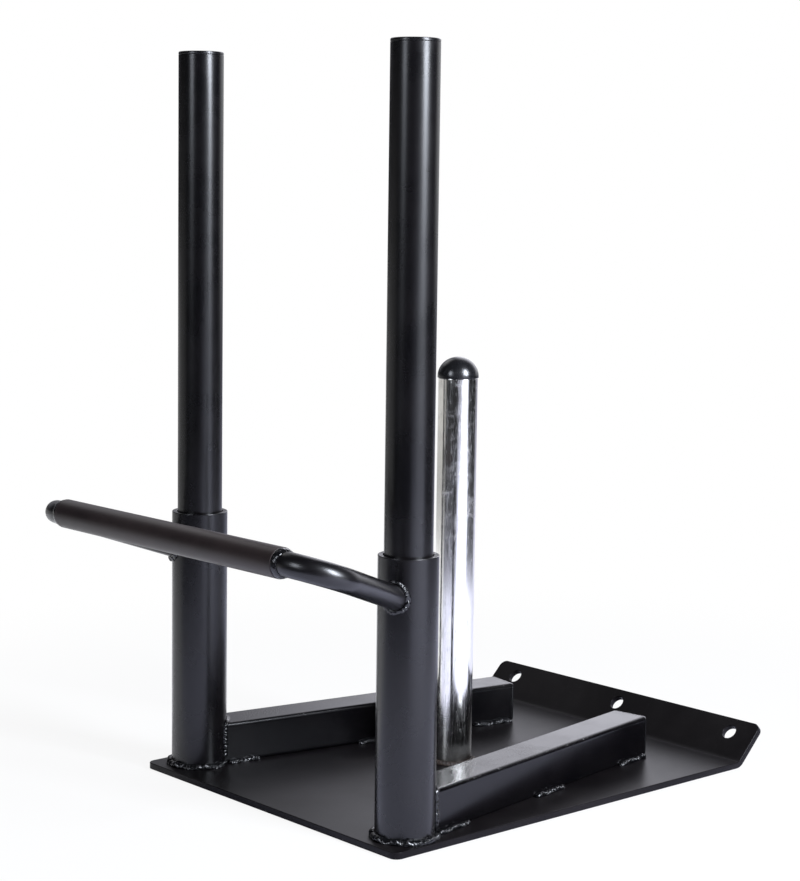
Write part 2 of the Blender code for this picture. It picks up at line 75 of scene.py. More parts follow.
def wander(distance, seed, longest, amount):
    """Slow unevenness along a run: a sum of five sines whose lengths shrink by about a third each time."""
    rng = np.random.default_rng(seed)
    total = np.zeros_like(distance)
    for step in range(5):
        length = longest / 1.47**step
        total += np.sin(TURN * distance / length + rng.uniform(0.0, TURN)) * amount / 1.5**step
    return total


def circle(count):
    """Evenly spaced angles once round."""
    return np.linspace(0.0, TURN, count, endpoint=False)


# meshes


def new_object(name, data):
    """An object that is linked into the scene."""
    thing = bpy.data.objects.new(name, data)
    bpy.context.scene.collection.objects.link(thing)
    return thing


def grid_corners(rows, columns, wrap_rows, wrap_columns):
    """Corner numbers of the four-sided faces of a grid of points, with its ends joined where asked."""
    r = np.arange(rows if wrap_rows else rows - 1)[:, None]
    c = np.arange(columns if wrap_columns else columns - 1)[None, :]
    r_next, c_next = (r + 1) % rows, (c + 1) % columns
    corners = [r * columns + c, r * columns + c_next, r_next * columns + c_next, r_next * columns + c]
    return np.stack(np.broadcast_arrays(*corners), axis=-1).reshape(-1, 4)


def make_piece(name, node, finish, grids, body="sled", sharp=35.0):
    """One closed mesh from grids. It stands for a node, and its finish is a material and a slot name; the
    slot name is not used.

    A grid is (points, wrap rows, wrap columns, values per point), and the values are kept as attributes.
    Doubled points at seams and poles are merged, and the faces are turned outwards.
    """
    material, slot = finish
    points, faces, values, start = [], [], {}, 0
    for array, wrap_rows, wrap_columns, given in grids:
        rows, columns = array.shape[:2]
        points.append(array.reshape(-1, 3))
        faces.append(grid_corners(rows, columns, wrap_rows, wrap_columns) + start)
        for key, value in given.items():
            values.setdefault(key, []).append(np.broadcast_to(value, (rows, columns)).reshape(-1))
        start += rows * columns
    points, faces = np.concatenate(points), np.concatenate(faces)
    mesh = bpy.data.meshes.new(name)
    mesh.from_pydata(points, [], faces, shade_flat=False)
    for key, value in values.items():
        layer = mesh.attributes.new(key, "FLOAT", "POINT")
        layer.data.foreach_set("value", np.concatenate(value).astype(np.float32))
    bm = bmesh.new()
    bm.from_mesh(mesh)
    bmesh.ops.remove_doubles(bm, verts=bm.verts[:], dist=2e-6)
    bmesh.ops.dissolve_degenerate(bm, edges=bm.edges[:], dist=1e-7)
    bm.normal_update()
    bmesh.ops.recalc_face_normals(bm, faces=bm.faces[:])
    bm.to_mesh(mesh)
    bm.free()
    mesh.validate()
    mesh.shade_smooth()
    mesh.set_sharp_from_angle(angle=math.radians(sharp))
    mesh.materials.append(material)
    piece = new_object(name, mesh)
    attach(piece, body)
    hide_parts(node)


def softened(corners, radii, steps=5, guard=0.0004, fade=0.004, closed=True):
    """An outline with rounded corners.

    Each corner with a radius becomes a parabola between the points a radius away on both its sides. A point a
    little beyond each end keeps the shading of the flat stretch even, and one at the fade distance, or at two
    fifths of a shorter stretch, is where wear that starts at the corner has faded out.
    """
    corners = np.asarray(corners, float)
    radii = np.broadcast_to(radii, len(corners))
    share = np.linspace(0.0, 1.0, steps + 1)[:, None]
    outline = []
    for index, (corner, radius) in enumerate(zip(corners, radii)):
        at_end = not closed and index in (0, len(corners) - 1)
        if radius <= 0.0 or at_end:
            outline.append(corner[None])
            continue
        back, ahead = corners[index - 1] - corner, corners[(index + 1) % len(corners)] - corner
        far_back = corner + unit(back) * min(radius + fade, 0.4 * np.linalg.norm(back))
        far_ahead = corner + unit(ahead) * min(radius + fade, 0.4 * np.linalg.norm(ahead))
        back, ahead = unit(back), unit(ahead)
        first, last = corner + back * radius, corner + ahead * radius
        curve = (1 - share) ** 2 * first + 2 * share * (1 - share) * corner + share**2 * last
        near_back, near_ahead = (first + back * guard)[None], (last + ahead * guard)[None]
        outline += [far_back[None], near_back, curve, near_ahead, far_ahead[None]]
    return np.concatenate(outline)


def turned(outline, centre=(0.0, 0.0, 0.0), axis=(0.0, 0.0, 1.0), around=160):
    """A (radius, distance along the axis) outline carried once round an axis. Rows go round it."""
    axis = unit(np.asarray(axis, float))
    across = unit(np.cross(axis, (0.0, 1.0, 0.0) if abs(axis[1]) < 0.9 else (1.0, 0.0, 0.0)))
    third = np.cross(axis, across)
    angle = circle(around)[:, None, None]
    ring = across * np.cos(angle) + third * np.sin(angle)
    return np.asarray(centre) + ring * outline[None, :, :1] + axis * outline[None, :, 1:]


def near_edges(outline, edges, reach):
    """1 on the given points of an outline and 0 further than reach from them, for wear."""
    gap = np.linalg.norm(outline[:, None] - np.asarray(edges, float)[None], axis=-1).min(axis=1)
    return np.clip(1.0 - gap / reach, 0.0, 1.0)


def square_ring(size, corner):
    """Points of a square with round corners, with extra points just beside each corner's ends."""
    corners = [(size / 2 * a, size / 2 * b) for a, b in ((1, 1), (-1, 1), (-1, -1), (1, -1))]
    return softened(corners, corner, steps=6, guard=0.0006, fade=0.0015)


# node helpers


class Nodes:
    """Adds nodes to one tree and links sockets, so that a material reads as a list of its steps."""

    def __init__(self, tree):
        self.tree = tree

    def add(self, kind, **settings):
        node = self.tree.nodes.new(kind)
        for key, value in settings.items():
            setattr(node, key, value)
        return node

    def put(self, socket, value):
        """Links a socket to another, or sets its value. A colour may leave out its alpha of 1."""
        if isinstance(value, bpy.types.NodeSocket):
            self.tree.links.new(value, socket)
        elif value is not None:
            opaque = socket.type == "RGBA" and len(value) == 3
            socket.default_value = (*value, 1.0) if opaque else value

    def fill(self, node, **inputs):
        """Puts values into a node's inputs, named with a low line for each space, and gives its outputs."""
        for key, value in inputs.items():
            self.put(node.inputs[key.replace("_", " ")], value)
        return node.outputs

    def math(self, operation, *values, clamp=False):
        node = self.add("ShaderNodeMath", operation=operation, use_clamp=clamp)
        for socket, value in zip(node.inputs, values):
            self.put(socket, value)
        return node.outputs[0]

    def times(self, a, b):
        return self.math("MULTIPLY", a, b)

    def plus(self, a, b):
        return self.math("ADD", a, b)

    def minus(self, a, b):
        return self.math("SUBTRACT", a, b)

    def larger(self, a, b):
        return self.math("MAXIMUM", a, b)

    def between(self, kind, values):
        """A mix of two colours or numbers, with its values by input number."""
        node = self.add("ShaderNodeMix", data_type=kind)
        for number, value in values.items():
            self.put(node.inputs[number], value)
        return node.outputs

    def mix(self, factor, a, b):
        return self.between("RGBA", {0: factor, 6: a, 7: b})[2]

    def blend(self, factor, a, b):
        return self.between("FLOAT", {0: factor, 2: a, 3: b})[0]

    def ramp(self, value, low, high, to_low=0.0, to_high=1.0):
        node = self.add("ShaderNodeMapRange", interpolation_type="SMOOTHSTEP")
        return self.fill(node, Value=value, From_Min=low, From_Max=high, To_Min=to_low, To_Max=to_high)[0]

    def noise(self, vector, scale, detail=3.0, roughness=0.55, distortion=0.0):
        node = self.add("ShaderNodeTexNoise")
        return self.fill(node, Vector=vector, Scale=scale, Detail=detail, Roughness=roughness,
                         Distortion=distortion)["Fac"]

    def mapping(self, vector, scale, degrees=0.0, shift=(0.0, 0.0, 0.0)):
        node, turn = self.add("ShaderNodeMapping"), (0.0, 0.0, math.radians(degrees))
        return self.fill(node, Vector=vector, Scale=scale, Rotation=turn, Location=shift)[0]

    def bump(self, height, strength, distance, normal=None):
        node = self.add("ShaderNodeBump")
        return self.fill(node, Height=height, Strength=strength, Distance=distance, Normal=normal)[0]

    def parts(self, vector):
        return self.fill(self.add("ShaderNodeSeparateXYZ"), Vector=vector)

    def level(self, parts, x, y):
        """How far a point or a direction reaches along the level direction (x, y)."""
        return self.plus(self.times(parts["X"], x), self.times(parts["Y"], y))

    def place(self):
        return self.add("ShaderNodeTexCoord").outputs["Object"]

    def value_of(self, attribute):
        return self.add("ShaderNodeAttribute", attribute_name=attribute).outputs["Fac"]

    def group(self, tree, **inputs):
        return self.fill(self.add("ShaderNodeGroup", node_tree=tree), **inputs)


def new_group(name, inputs, outputs):
    """A shader group with a vector and named numbers as its inputs and named numbers as its outputs."""
    tree = bpy.data.node_groups.new(name, "ShaderNodeTree")
    tree.interface.new_socket("Vector", in_out="INPUT", socket_type="NodeSocketVector")
    for key, default in inputs.items():
        socket = tree.interface.new_socket(key, in_out="INPUT", socket_type="NodeSocketFloat")
        socket.default_value = default
    for key in outputs:
        tree.interface.new_socket(key, in_out="OUTPUT", socket_type="NodeSocketFloat")
    given = tree.nodes.new("NodeGroupInput").outputs
    result = tree.nodes.new("NodeGroupOutput").inputs
    return Nodes(tree), given, result


def new_material(name, **constants):
    """A material with one Principled shader. The constants are set on the shader's own sockets."""
    material = bpy.data.materials.new(name)
    material.use_nodes = True
    n, shader = Nodes(material.node_tree), material.node_tree.nodes["Principled BSDF"]
    n.fill(shader, **constants)
    return material, n, shader


# effects shared by the finishes


def powder_grain_group():
    """Fine orange peel of baked powder, with slow changes of tone where the coat is thicker or handled."""
    inputs = {"Peel Scale": 700.0, "Tone Scale": 14.0}
    n, given, result = new_group("powder_grain", inputs, ["Height", "Tone", "Speck"])
    place, peel_scale, tone_scale = given["Vector"], given["Peel Scale"], given["Tone Scale"]
    peel = n.noise(place, peel_scale, 2.0, 0.5)
    finer = n.noise(place, n.times(peel_scale, 3.1), 1.0, 0.5)
    n.put(result["Height"], n.plus(n.times(peel, 0.75), n.times(finer, 0.25)))
    n.put(result["Tone"], n.ramp(n.noise(place, tone_scale, 4.0, 0.6, 0.3), 0.33, 0.68))
    n.put(result["Speck"], n.ramp(n.noise(place, n.times(tone_scale, 34.0), 2.0, 0.7), 0.66, 0.74))
    return n.tree


def edge_wear_group():
    """Where paint is rubbed from an edge: the edge value, broken up by noise, past a threshold."""
    inputs = {"Edge": 0.0, "Amount": 0.5, "Break Scale": 260.0}
    n, given, result = new_group("edge_wear", inputs, ["Mask", "Halo"])
    broken = n.noise(given["Vector"], given["Break Scale"], 4.0, 0.65)
    slow = n.noise(given["Vector"], n.times(given["Break Scale"], 0.14), 2.0, 0.5)
    jitter = n.plus(n.times(broken, 0.55), n.times(slow, 0.75))
    level = n.plus(n.times(given["Edge"], given["Amount"]), jitter)
    at_edge = n.ramp(given["Edge"], 0.0, 0.2)
    n.put(result["Mask"], n.times(at_edge, n.ramp(level, 1.12, 1.20)))
    n.put(result["Halo"], n.times(at_edge, n.ramp(level, 0.95, 1.20)))
    return n.tree


def settled_dust_group():
    """Pale dust that lies on faces that look up, in patches of grit."""
    n, given, result = new_group("settled_dust", {"Amount": 0.5, "Patch Scale": 9.0}, ["Mask"])
    facing = n.ramp(n.parts(n.add("ShaderNodeNewGeometry").outputs["Normal"])["Z"], 0.3, 0.95)
    patches = n.ramp(n.noise(given["Vector"], given["Patch Scale"], 6.0, 0.62, 0.8), 0.42, 0.78)
    grit = n.ramp(n.noise(given["Vector"], n.times(given["Patch Scale"], 60.0), 2.0, 0.6), 0.45, 0.75)
    mask = n.times(n.times(patches, n.plus(0.35, n.times(grit, 0.65))), facing)
    n.put(result["Mask"], n.math("MULTIPLY", mask, given["Amount"], clamp=True))
    return n.tree


def fine_scratches_group():
    """Thin straight lines: the zero crossings of noise stretched one way, kept only in patches."""
    n, given, result = new_group("fine_scratches", {"Width": 0.02, "Spread": 0.5}, ["Mask"])
    thin = n.math("ABSOLUTE", n.minus(n.noise(given["Vector"], 1.0, 1.5, 0.5), 0.5))
    mark = n.minus(1.0, n.ramp(thin, 0.0, given["Width"]))
    moved = n.mapping(given["Vector"], (0.35, 0.35, 0.35), shift=(13.0, 5.0, 2.0))
    kept = n.ramp(n.noise(moved, 1.0, 2.0, 0.5), n.minus(1.0, given["Spread"]), 0.72)
    n.put(result["Mask"], n.times(mark, kept))
    return n.tree


POWDER_GRAIN = powder_grain_group()
EDGE_WEAR = edge_wear_group()
SETTLED_DUST = settled_dust_group()
FINE_SCRATCHES = fine_scratches_group()


# finishes

SPECK_COLOUR, DUST_COLOUR = (0.04, 0.04, 0.045), (0.065, 0.060, 0.058)
THIN_PAINT_COLOUR, PRIMER_COLOUR = (0.025, 0.024, 0.024), (0.11, 0.105, 0.10)


def powder_coat(name, colour, thick_colour, roughness, index, peel, dust=0.0, wear=0.0, tone_scale=14.0,
                slot="black_powder_coat"):
    """Black baked powder: two close tones, grain, dust on top faces and rubbed edges that show primer."""
    material, n, shader = new_material(name, Metallic=0.0, IOR=index)
    place = n.place()
    grain = n.group(POWDER_GRAIN, Vector=place, Tone_Scale=tone_scale)
    worn = n.group(EDGE_WEAR, Vector=place, Edge=n.value_of("edge"), Amount=wear)
    dusty = n.group(SETTLED_DUST, Vector=place, Amount=dust)["Mask"]
    base = n.mix(grain["Tone"], colour, thick_colour)
    base = n.mix(n.times(grain["Speck"], 0.10), base, SPECK_COLOUR)
    base = n.mix(dusty, base, DUST_COLOUR)
    base = n.mix(n.times(worn["Halo"], 0.25), base, THIN_PAINT_COLOUR)
    base = n.mix(worn["Mask"], base, PRIMER_COLOUR)
    rough = n.blend(dusty, n.blend(grain["Tone"], roughness, roughness + 0.05), 0.7)
    n.fill(shader, Base_Color=base, Roughness=n.blend(worn["Mask"], rough, 0.5),
           Normal=n.bump(grain["Height"], peel, 0.0003))
    return material, slot


def weld_paint():
    """Glossy paint flooded over a weld bead, thin and grey on the crests of its ripples."""
    material, n, shader = new_material("weld_paint", Metallic=0.0, IOR=1.5)
    grain = n.group(POWDER_GRAIN, Vector=n.place(), Peel_Scale=420.0, Tone_Scale=60.0)
    thin = n.times(n.ramp(n.value_of("crest"), 0.55, 1.0), n.ramp(grain["Tone"], 0.2, 0.9))
    n.fill(shader, Base_Color=n.mix(thin, (0.003, 0.003, 0.0035), (0.035, 0.034, 0.035)),
           Roughness=n.blend(grain["Tone"], 0.10, 0.24), Normal=n.bump(grain["Height"], 0.5, 0.0006))
    return material, "painted_weld"


def burnt_weld():
    """Bare weld at the foot of the post: brown scale, with steel on the crests of its ripples."""
    material, n, shader = new_material("burnt_weld", IOR=1.5)
    grain = n.group(POWDER_GRAIN, Vector=n.place(), Peel_Scale=380.0, Tone_Scale=90.0)
    crest = n.ramp(n.value_of("crest"), 0.5, 1.0)
    scale = n.mix(grain["Tone"], (0.012, 0.008, 0.007), (0.035, 0.022, 0.016))
    n.fill(shader, Base_Color=n.mix(crest, scale, (0.10, 0.09, 0.085)), Metallic=n.blend(crest, 0.2, 0.9),
           Roughness=n.blend(crest, 0.6, 0.32), Normal=n.bump(grain["Height"], 0.6, 0.0005))
    return material, "bare_burnt_weld"


def scratched_chrome():
    """Bright plating with slanted scratches both ways and dull smears, turned and burnt near the foot.

    Patterns lie on the unrolled post: the distance round it and the height.
    """
    material, n, shader = new_material("scratched_chrome", IOR=1.5)
    place = n.place()
    height = n.parts(place)["Z"]
    flat = n.fill(n.add("ShaderNodeCombineXYZ"), X=n.value_of("around"), Y=height)[0]
    falling = n.mapping(flat, (900.0, 22.0, 1.0), -28.0)
    rising = n.mapping(flat, (700.0, 26.0, 1.0), 34.0, (3.0, 9.0, 0.0))
    marks = n.larger(n.group(FINE_SCRATCHES, Vector=falling, Width=0.03, Spread=0.64)["Mask"],
                     n.group(FINE_SCRATCHES, Vector=rising, Width=0.03, Spread=0.60)["Mask"])
    smear = n.ramp(n.noise(n.mapping(flat, (60.0, 9.0, 1.0)), 1.0, 5.0, 0.65, 1.2), 0.48, 0.80)
    cloudy = n.ramp(n.noise(flat, 38.0, 5.0, 0.6, 0.6), 0.45, 0.70)
    smear = n.larger(smear, n.times(cloudy, n.ramp(height, 0.20, 0.34)))
    heat = n.plus(height, n.times(n.noise(place, 55.0, 3.0), 0.030))
    burnt = n.ramp(heat, 0.022, 0.052, 1.0, 0.0)
    turned_part = n.ramp(heat, 0.045, 0.125, 1.0, 0.0)
    turning = n.times(n.noise(n.mapping(flat, (12.0, 1500.0, 1.0)), 1.0, 2.0, 0.5), turned_part)
    bright = n.mix(smear, (0.88, 0.865, 0.82), (0.78, 0.765, 0.73))
    bright = n.mix(n.times(marks, 0.6), bright, (0.45, 0.45, 0.46))
    scale = n.mix(n.ramp(turning, 0.35, 0.60), (0.008, 0.006, 0.005), (0.080, 0.060, 0.048))
    rough = n.blend(marks, n.blend(smear, 0.12, 0.32), 0.42)
    normal = n.bump(n.minus(n.times(n.noise(flat, 160.0, 2.0), 0.35), marks), 0.12, 0.0001)
    n.fill(shader, Base_Color=n.mix(burnt, bright, scale), Metallic=n.blend(burnt, 1.0, 0.85),
           Roughness=n.blend(burnt, rough, 0.22), Normal=n.bump(turning, 0.8, 0.0001, normal))
    return material, "scratched_chrome"


def moulded_plastic(name, colour, roughness):
    """Black moulded plastic with a fine spark texture and a little handling dust."""
    material, n, shader = new_material(name, Metallic=0.0, IOR=1.55)
    place = n.place()
    grain = n.group(POWDER_GRAIN, Vector=place, Peel_Scale=1500.0, Tone_Scale=40.0)
    dusty = n.group(SETTLED_DUST, Vector=place, Amount=0.22, Patch_Scale=30.0)["Mask"]
    base = n.mix(grain["Tone"], colour, tuple(c * 1.5 for c in colour))
    rough = n.blend(grain["Tone"], roughness, roughness + 0.08)
    n.fill(shader, Base_Color=n.mix(dusty, base, (0.06, 0.06, 0.06)), Roughness=rough,
           Normal=n.bump(grain["Height"], 0.25, 0.0002))
    return material, "black_plastic"


TUBE_PAINT = powder_coat("pole_powder_coat", (0.0014, 0.0013, 0.0017), (0.0026, 0.0022, 0.0026),
                         roughness=0.25, index=1.46, peel=0.05)
SOCKET_PAINT = powder_coat("socket_powder_coat", (0.0014, 0.0012, 0.0017), (0.0028, 0.0023, 0.0027),
                           roughness=0.25, index=1.46, peel=0.08, dust=0.08, wear=0.50)
ARM_PAINT = powder_coat("arm_powder_coat", (0.0014, 0.0012, 0.0018), (0.0026, 0.0021, 0.0026),
                        roughness=0.27, index=1.50, peel=0.06)
RAIL_PAINT = powder_coat("rail_powder_coat", (0.0013, 0.0012, 0.0016), (0.0024, 0.0021, 0.0024),
                         roughness=0.17, index=1.30, peel=0.06, dust=0.45, wear=0.40)
PLATE_PAINT = powder_coat("skid_powder_coat", (0.0032, 0.0026, 0.0031), (0.0064, 0.0054, 0.0058),
                          roughness=0.32, index=1.20, peel=0.10, dust=0.16, wear=0.10, tone_scale=7.0)
GRIP_PAINT = powder_coat("grip_powder_coat", (0.0150, 0.0100, 0.0098), (0.0250, 0.0170, 0.0160),
                         roughness=0.38, index=1.36, peel=0.10, dust=0.04, wear=0.30, slot="grip_powder_coat")
WELD_PAINT = weld_paint()
BURNT_WELD = burnt_weld()
CHROME = scratched_chrome()
PLASTIC = moulded_plastic("black_plastic", (0.005, 0.005, 0.0055), roughness=0.20)
CAP_PLASTIC = moulded_plastic("pole_cap_plastic", (0.003, 0.003, 0.0035), roughness=0.24)


# the skid

EDGE_ROUND, HOLE_CELL, WEAR_REACH = 0.0009, 0.0135, 0.004
SETBACK = BEND_RADIUS * math.tan(LIP_ANGLE / 2)
BEND_START = PLATE_BEND - SETBACK
BEND_ARC = LIP_ANGLE * (BEND_RADIUS + PLATE_THICKNESS / 2)
FLAT_END = BEND_START + BEND_ARC + (LIP_LENGTH - SETBACK)
HOLE_X, HOLE_Y = HOLE_PITCH * np.array([-1.0, 0.0, 1.0]), FLAT_END - HOLE_FROM_EDGE


def bent(flat, up):
    """Bends points of the flat plate, at their heights over its underside, over the lip's bend.

    Up to the bend nothing moves. In the bend a point turns about the bend's centre by the share of the arc
    that it has passed, and beyond it the point lies on the straight lip.
    """
    across, along = flat[..., 0], flat[..., 1]
    turn = np.clip((along - BEND_START) / BEND_ARC, 0.0, 1.0) * LIP_ANGLE
    beyond = np.maximum(along - BEND_START - BEND_ARC, 0.0)
    centre_up = PLATE_THICKNESS + BEND_RADIUS
    radius = centre_up - up
    y = np.minimum(along, BEND_START) + radius * np.sin(turn) + beyond * math.cos(LIP_ANGLE)
    z = centre_up - radius * np.cos(turn) + beyond * math.sin(LIP_ANGLE)
    return np.stack([across, y, z], axis=-1)


def even_lines(stops, step):
    """Evenly spaced lines from each stop to the next, about a step apart."""
    runs = [np.linspace(a, b, max(2, int(round((b - a) / step)) + 1))[:-1] for a, b in zip(stops, stops[1:])]
    return np.concatenate(runs + [[stops[-1]]])


def flat_sheet():
    """The flat skid's column and row places, and its grid of points.

    Lines lie close together at the corners, over the bend and round the holes. The outer columns draw in
    along the round corners, by the circle's half chord at each row.
    """
    rear, front, side = PLATE_REAR + EDGE_ROUND, FLAT_END - EDGE_ROUND, PLATE_HALF_WIDTH - EDGE_ROUND
    round_by, guard, fine_step, coarse_step = CORNER_RADIUS - EDGE_ROUND, 0.0005, 0.0045, 0.02
    curve = round_by * (1.0 - np.cos(np.linspace(0.0, math.pi / 2, 9)))
    rear_rows, front_rows = rear + curve, (front - curve)[::-1]
    bend_rows = BEND_START + np.linspace(0.0, BEND_ARC, 13)
    middle_rows = even_lines([rear_rows[-1], bend_rows[0]], coarse_step)[1:-1]
    lip_stops = [bend_rows[-1], HOLE_Y - HOLE_CELL, HOLE_Y, HOLE_Y + HOLE_CELL, front_rows[0]]
    lip_rows = even_lines(lip_stops, fine_step)[1:-1]
    y = [rear_rows, [rear + guard], middle_rows, bend_rows, lip_rows, front_rows, [front - guard]]
    y = np.unique(np.round(np.concatenate(y), 7))
    inner = side - round_by
    stops = [0.0, HOLE_CELL, HOLE_PITCH - HOLE_CELL, HOLE_PITCH, HOLE_PITCH + HOLE_CELL, inner]
    x = even_lines(stops, fine_step)
    x = np.unique(np.round(np.concatenate([x, np.linspace(inner, side, 9), [side - guard]]), 7))
    x = np.concatenate([-x[:0:-1], x])
    past = np.maximum(np.maximum(rear + round_by - y, y - (front - round_by)), 0.0)
    half_chord = np.sqrt(np.maximum(round_by**2 - past**2, 0.0))
    outer = np.maximum(np.abs(x)[None, :] - inner, 0.0) / round_by
    across = np.where(outer > 0, np.sign(x)[None, :] * (inner + outer * half_chord[:, None]), x[None, :])
    return x, y, np.stack([across, np.broadcast_to(y[:, None], across.shape)], axis=-1)


def border(grid, rows, columns):
    """The points round a block of a grid, once round from its first corner."""
    (r0, r1), (c0, c1) = rows, columns
    return np.concatenate([grid[r0, c0:c1], grid[r0:r1, c1], grid[r1, c1:c0:-1], grid[r1:r0:-1, c0]])


def skid_wear(points):
    """1 on the skid's outline and the holes' rims, and 0 further than the wear's reach from them."""
    side_gap = PLATE_HALF_WIDTH - np.abs(points[..., 0])
    end_gap = np.minimum(points[..., 1] - PLATE_REAR, FLAT_END - points[..., 1])
    hole_gap = np.hypot(points[..., :1] - HOLE_X, points[..., 1:2] - HOLE_Y).min(axis=-1) - HOLE_RADIUS
    return np.clip(1.0 - np.minimum(np.minimum(side_gap, end_gap), hole_gap) / WEAR_REACH, 0.0, 1.0)


def skid():
    """The skid is worked out flat and then bent.

    A square of cells round each tow hole gives way to rings that go from that square to the hole's circle.
    Strips whose section is two quarter circles join the two sheets, round the outline and in the holes.
    """
    x, y, sheet = flat_sheet()
    ends, sides = (0, len(y) - 1), (0, len(x) - 1)
    hole_rows = np.flatnonzero(np.abs(y - HOLE_Y) <= HOLE_CELL + 1e-6)[[0, -1]]
    spans = [np.flatnonzero(np.abs(x - hole) <= HOLE_CELL + 1e-6)[[0, -1]] for hole in HOLE_X]
    cuts = [0, *np.ravel(spans), sides[1]]
    blocks = [(0, hole_rows[0], *sides), (hole_rows[1], ends[1], *sides)]
    blocks += [(*hole_rows, first, last) for first, last in zip(cuts[::2], cuts[1::2])]
    holes = []
    for hole, span in zip(HOLE_X, spans):
        centre, cell = np.array([hole, HOLE_Y]), border(sheet, hole_rows, span)
        ray = unit(cell - centre)
        circle = centre + ray * (HOLE_RADIUS + EDGE_ROUND)
        guard_ring = circle + ray * 0.0004
        holes.append((ray, circle, np.stack([cell, (cell + guard_ring) / 2, guard_ring, circle])))
    grids = []
    for height in (PLATE_THICKNESS, 0.0):
        parts = [(sheet[r0 : r1 + 1, c0 : c1 + 1], False) for r0, r1, c0, c1 in blocks]
        parts += [(rings, True) for _, _, rings in holes]
        for part, closed in parts:
            grids.append((bent(part, height), False, closed, {"edge": skid_wear(part)}))

    swing = np.linspace(0.0, math.pi / 2, 6)
    profile_out = EDGE_ROUND * np.concatenate([np.sin(swing), np.cos(swing)])
    upper = PLATE_THICKNESS - EDGE_ROUND * (1 - np.cos(swing))
    profile_up = np.concatenate([upper, EDGE_ROUND * (1 - np.sin(swing))])
    rim = border(sheet, ends, sides)
    least = np.array([-PLATE_HALF_WIDTH, PLATE_REAR]) + CORNER_RADIUS
    most = np.array([PLATE_HALF_WIDTH, FLAT_END]) - CORNER_RADIUS
    strips = [(rim, unit(rim - np.clip(rim, least, most)))] + [(circle, -ray) for ray, circle, _ in holes]
    for start, outward in strips:
        strip = start[:, None, :] + outward[:, None, :] * profile_out[None, :, None]
        grids.append((bent(strip, profile_up), True, False, {"edge": 1.0}))
    make_piece("skid", "base_plate", PLATE_PAINT, grids, sharp=50.0)


# round pieces


def wall_outline(bore, radius, low, high):
    """A tube's wall, cut along its axis."""
    return [(bore, low), (radius, low), (radius, high), (bore, high)]


def sockets_and_poles():
    """Tubes are closed wall outlines carried round their axis, with softened rims. Caps close at the axis."""
    for label, side in SIDES:
        axis_point = socket_point(side)
        wall = wall_outline(SOCKET_BORE, SOCKET_RADIUS, FOOT_Z, SOCKET_TOP)
        outline = softened(wall, [0.0, 0.0, 0.0010, 0.0008])
        edge = near_edges(outline, [wall[2], wall[3], (SOCKET_RIM_MIDDLE, SOCKET_TOP)], 0.004)
        make_piece(f"{label}_socket_tube", f"{label}_socket", SOCKET_PAINT,
                   [(turned(outline, axis_point), True, True, {"edge": edge})])
        top = POLE_TOP - CAP_FLANGE - SEAT
        wall = wall_outline(POLE_BORE, POLE_RADIUS, FOOT_Z, top)
        outline = softened(wall, [0.0, 0.0005, 0.0004, 0.0])
        edge = near_edges(outline, [wall[1], wall[2]], 0.003)
        make_piece(f"{label}_pole_tube", f"{label}_push_pole", TUBE_PAINT,
                   [(turned(outline, axis_point), True, True, {"edge": edge})], body=f"{label}_pole")
        base, skirt, deep = top + SEAT, POLE_BORE - SEAT, top - SKIRT_LENGTH
        outline = [(0.0, base), (skirt - SKIRT_WALL, base), (skirt - SKIRT_WALL, deep), (skirt, deep)]
        outline += [(skirt, base), (POLE_RADIUS, base), (POLE_RADIUS, POLE_TOP), (0.0, POLE_TOP)]
        outline = softened(outline, [0, 0, 0, 0, 0, 0.0004, 0.0017, 0], closed=False)
        make_piece(f"{label}_pole_plug", f"{label}_pole_cap", CAP_PLASTIC,
                   [(turned(outline, axis_point), True, False, {})], body=f"{label}_pole")


def post_and_dome():
    """The bright post and its cap, whose top is a quarter ellipse turned round the axis."""
    wall = wall_outline(POST_BORE, POST_RADIUS, FOOT_Z, POST_TOP)
    surface = turned(softened(wall, [0.0, 0.0, 0.0006, 0.0]), around=192)
    around = np.linspace(0.0, TURN * POST_RADIUS, len(surface), endpoint=False)[:, None]
    make_piece("plate_post", "weight_post", CHROME, [(surface, True, True, {"around": around})])
    base, skirt, brim = POST_TOP + SEAT, POST_BORE - SEAT, 0.0016
    angle = np.linspace(0.0, math.pi / 2, 40)
    dome = np.stack([DOME_RADIUS * np.cos(angle), base + brim + (DOME_HEIGHT - brim) * np.sin(angle)], -1)
    dome[-1, 0] = 0.0
    deep = base - SKIRT_LENGTH
    lower = [(0.0, base), (skirt - SKIRT_WALL, base), (skirt - SKIRT_WALL, deep), (skirt, deep)]
    lower += [(skirt, base), (DOME_RADIUS, base), (DOME_RADIUS, base + brim)]
    lower = softened(lower, [0, 0, 0, 0, 0, 0.0004, 0], closed=False)
    outline = np.concatenate([lower, dome[1:]])
    make_piece("post_dome", "post_cap", PLASTIC, [(turned(outline), True, False, {})])


# rails

RAIL_END_ROUND, RAIL_WEAR_REACH = 0.0003, 0.009
# the plug's front edge and face: shares of the rail's section, and how far each lies behind the front
PLUG_FACE = ((1.0, 0.0009), (0.9895, 0.0002), (0.975, 0.0), (0.0, 0.0))


def rail_frame(side):
    """The middle of a rail's section on the socket's axis, its length, its direction and its outer side's."""
    start = socket_point(side)
    front = np.array([side * RAIL_FRONT[0], RAIL_FRONT[1], 0.0])
    length = np.linalg.norm(front - start)
    along = (front - start) / length
    outward = np.array([along[1], -along[0], 0.0]) * side
    return start + UP * (FOOT_Z + RAIL_SIZE / 2), length, along, outward


